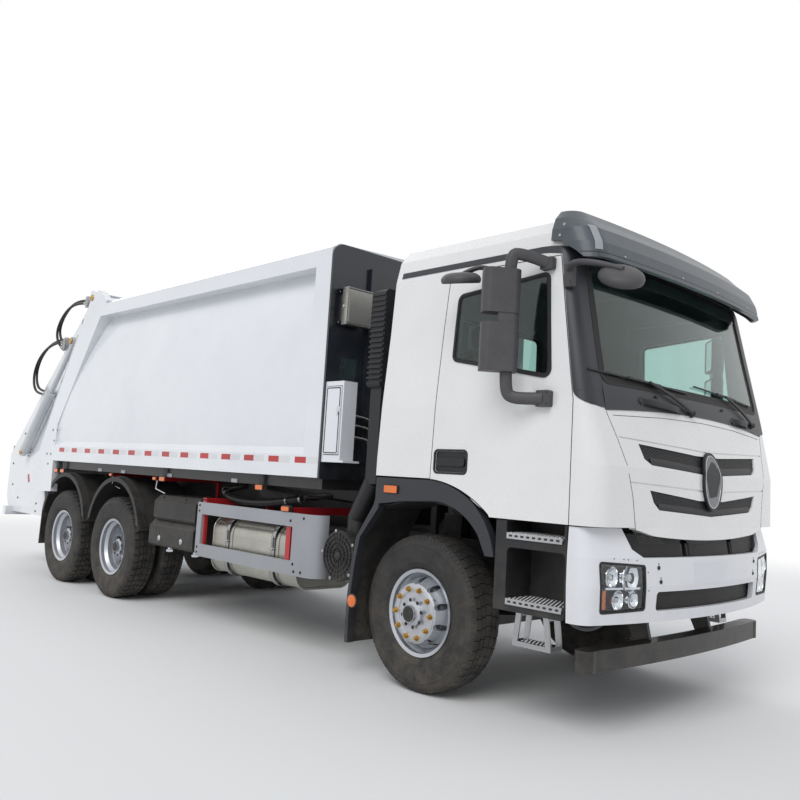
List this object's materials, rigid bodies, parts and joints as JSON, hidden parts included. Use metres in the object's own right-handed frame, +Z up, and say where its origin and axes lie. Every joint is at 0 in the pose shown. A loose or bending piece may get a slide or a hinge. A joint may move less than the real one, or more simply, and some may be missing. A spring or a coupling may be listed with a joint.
{
  "type": "rear-loading garbage truck",
  "caption": "Rear-loading refuse truck with cab, side-railed compactor body, lifting tailgate with packer blade and bin lifter, and side guards.",
  "frame": {"origin": "middle of the overall length and width, on the ground", "axes": "+X forward, +Y to the truck's left, +Z up"},
  "size_m": [10.2752, 3.1102, 3.4922],
  "materials": {
    "white_paint": "gloss",
    "cab_white": "gloss",
    "navy_paint": "satin",
    "black_paint": "satin",
    "red_paint": "satin",
    "grey_paint": "satin",
    "silver_paint": "satin",
    "dark_plastic": "matte",
    "visor_plastic": "satin",
    "bumper_white": "gloss",
    "lamp_clear": "clear",
    "window_glass": "tinted clear",
    "tyre_rubber": "matte",
    "aluminium": "satin",
    "stainless": "brushed",
    "cast_iron": "matte",
    "interior_grey": "matte"
  },
  "bodies": {
    "truck": {"chassis_frame": "black_paint", "engine_block": "cast_iron", "front_axle": "cast_iron", "drive_axles": "cast_iron", "front_bumper": "bumper_white", "bumper_grille": "dark_plastic", "headlamps": "lamp_clear", "underrun_bar": "black_paint", "cab_steps": "dark_plastic", "step_treads": "aluminium", "arch_trims": "dark_plastic", "mudguards": "dark_plastic", "side_guards": "grey_paint", "guard_brackets": "red_paint", "fuel_tank": "aluminium", "tool_boxes": "black_paint", "air_intake": "dark_plastic", "silencer": "black_paint", "body_subframe": "black_paint", "refuse_body": "white_paint", "bulkhead": "navy_paint", "cabinet": "white_paint", "control_box": "stainless"},
    "cabinet_door": {"cabinet_door": "white_paint"},
    "ejector": {"ejector_plate": "white_paint"},
    "cab": {"cab_shell": "cab_white", "cab_glass": "window_glass", "front_panel": "cab_white", "panel_grille": "dark_plastic", "roof_visor": "visor_plastic", "cab_interior": "interior_grey", "front_mirror": "dark_plastic"},
    "tailgate": {"tailgate": "white_paint", "hopper_trough": "grey_paint", "packer_cylinders": "grey_paint"},
    "carriage": {"carriage": "grey_paint"},
    "sweep_blade": {"sweep_blade": "grey_paint"},
    "bin_lifter": {"bin_lifter": "grey_paint"},
    "lift_barrels": {"lift_barrels": "grey_paint"},
    "lift_rods": {"lift_rods": "stainless"},
    "door_right": {"door_right": "cab_white", "door_glass_right": "window_glass", "mirrors_right": "dark_plastic"},
    "knuckle_right": {"knuckle_right": "cast_iron"},
    "front_wheel_right": {"front_tyre_right": "tyre_rubber", "front_rim_right": "silver_paint"},
    "middle_wheels_right": {"middle_tyres_right": "tyre_rubber", "middle_rims_right": "silver_paint"},
    "rear_wheels_right": {"rear_tyres_right": "tyre_rubber", "rear_rims_right": "silver_paint"},
    "door_left": {"door_left": "cab_white", "door_glass_left": "window_glass", "mirrors_left": "dark_plastic"},
    "knuckle_left": {"knuckle_left": "cast_iron"},
    "front_wheel_left": {"front_tyre_left": "tyre_rubber", "front_rim_left": "silver_paint"},
    "middle_wheels_left": {"middle_tyres_left": "tyre_rubber", "middle_rims_left": "silver_paint"},
    "rear_wheels_left": {"rear_tyres_left": "tyre_rubber", "rear_rims_left": "silver_paint"}
  },
  "joints": [
    {"name": "steer_right", "type": "hinge", "parent": "truck", "child": "knuckle_right", "pos_m": [3.475, -0.85, 0.537], "axis": [0, 0, 1], "range_deg": [-35, 35]},
    {"name": "front_wheel_right_spin", "type": "hinge", "parent": "knuckle_right", "child": "front_wheel_right", "pos_m": [3.475, -1.005, 0.537], "axis": [0, 1, 0], "continuous": true},
    {"name": "middle_wheels_right_spin", "type": "hinge", "parent": "truck", "child": "middle_wheels_right", "pos_m": [-1.151, -1.1, 0.537], "axis": [0, 1, 0], "continuous": true},
    {"name": "rear_wheels_right_spin", "type": "hinge", "parent": "truck", "child": "rear_wheels_right", "pos_m": [-2.501, -1.1, 0.537], "axis": [0, 1, 0], "continuous": true},
    {"name": "door_right_swing", "type": "hinge", "parent": "cab", "child": "door_right", "pos_m": [4.765, -1.243, 1.9], "axis": [0, 0, 1], "range_deg": [0, 70]},
    {"name": "steer_left", "type": "hinge", "parent": "truck", "child": "knuckle_left", "pos_m": [3.475, 0.85, 0.537], "axis": [0, 0, 1], "range_deg": [-35, 35]},
    {"name": "front_wheel_left_spin", "type": "hinge", "parent": "knuckle_left", "child": "front_wheel_left", "pos_m": [3.475, 1.005, 0.537], "axis": [0, 1, 0], "continuous": true},
    {"name": "middle_wheels_left_spin", "type": "hinge", "parent": "truck", "child": "middle_wheels_left", "pos_m": [-1.151, 1.1, 0.537], "axis": [0, 1, 0], "continuous": true},
    {"name": "rear_wheels_left_spin", "type": "hinge", "parent": "truck", "child": "rear_wheels_left", "pos_m": [-2.501, 1.1, 0.537], "axis": [0, 1, 0], "continuous": true},
    {"name": "door_left_swing", "type": "hinge", "parent": "cab", "child": "door_left", "pos_m": [4.765, 1.243, 1.9], "axis": [0, 0, -1], "range_deg": [0, 70]},
    {"name": "cab_tilt", "type": "hinge", "parent": "truck", "child": "cab", "pos_m": [4.915, 0, 0.98], "axis": [0, 1, 0], "range_deg": [0, 50]},
    {"name": "cabinet_door_swing", "type": "hinge", "parent": "truck", "child": "cabinet_door", "pos_m": [2.431, -1.243, 1.87], "axis": [0, 0, -1], "range_deg": [0, 100]},
    {"name": "ejector_slide", "type": "slide", "parent": "truck", "child": "ejector", "axis": [-1, 0, 0], "range_m": [0, 4.2]},
    {"name": "tailgate_lift", "type": "hinge", "parent": "truck", "child": "tailgate", "pos_m": [-2.245, 0, 3.42], "axis": [0, 1, 0], "range_deg": [0, 80]},
    {"name": "lift_barrels_swing", "type": "hinge", "parent": "truck", "child": "lift_barrels", "pos_m": [-3.59547, 0, 1.42], "axis": [0, 1, 0], "range_deg": [-7.52, 0]},
    {"name": "lift_rods_slide", "type": "slide", "parent": "lift_barrels", "child": "lift_rods", "axis": [0.5318, 0, 0.8469], "range_m": [0, 0.42367]},
    {"name": "packer_slide", "type": "slide", "parent": "tailgate", "child": "carriage", "axis": [-0.6884, 0, -0.7254], "range_m": [0, 0.65]},
    {"name": "sweep_blade_swing", "type": "hinge", "parent": "carriage", "child": "sweep_blade", "pos_m": [-3.53592, 0, 2.08767], "axis": [0, -1, 0], "range_deg": [0, 75]},
    {"name": "bin_lifter_swing", "type": "hinge", "parent": "tailgate", "child": "bin_lifter", "pos_m": [-4.945, 0, 1.54], "axis": [0, 1, 0], "range_deg": [0, 135]}
  ],
  "couplings": [
    {"joint": "steer_left", "follows": "steer_right", "ratio": 1},
    {"joint": "lift_barrels_swing", "follows": "tailgate_lift", "ratio": -0.09401},
    {"joint": "lift_rods_slide", "follows": "tailgate_lift", "m_per_rad": 0.30343}
  ]
}
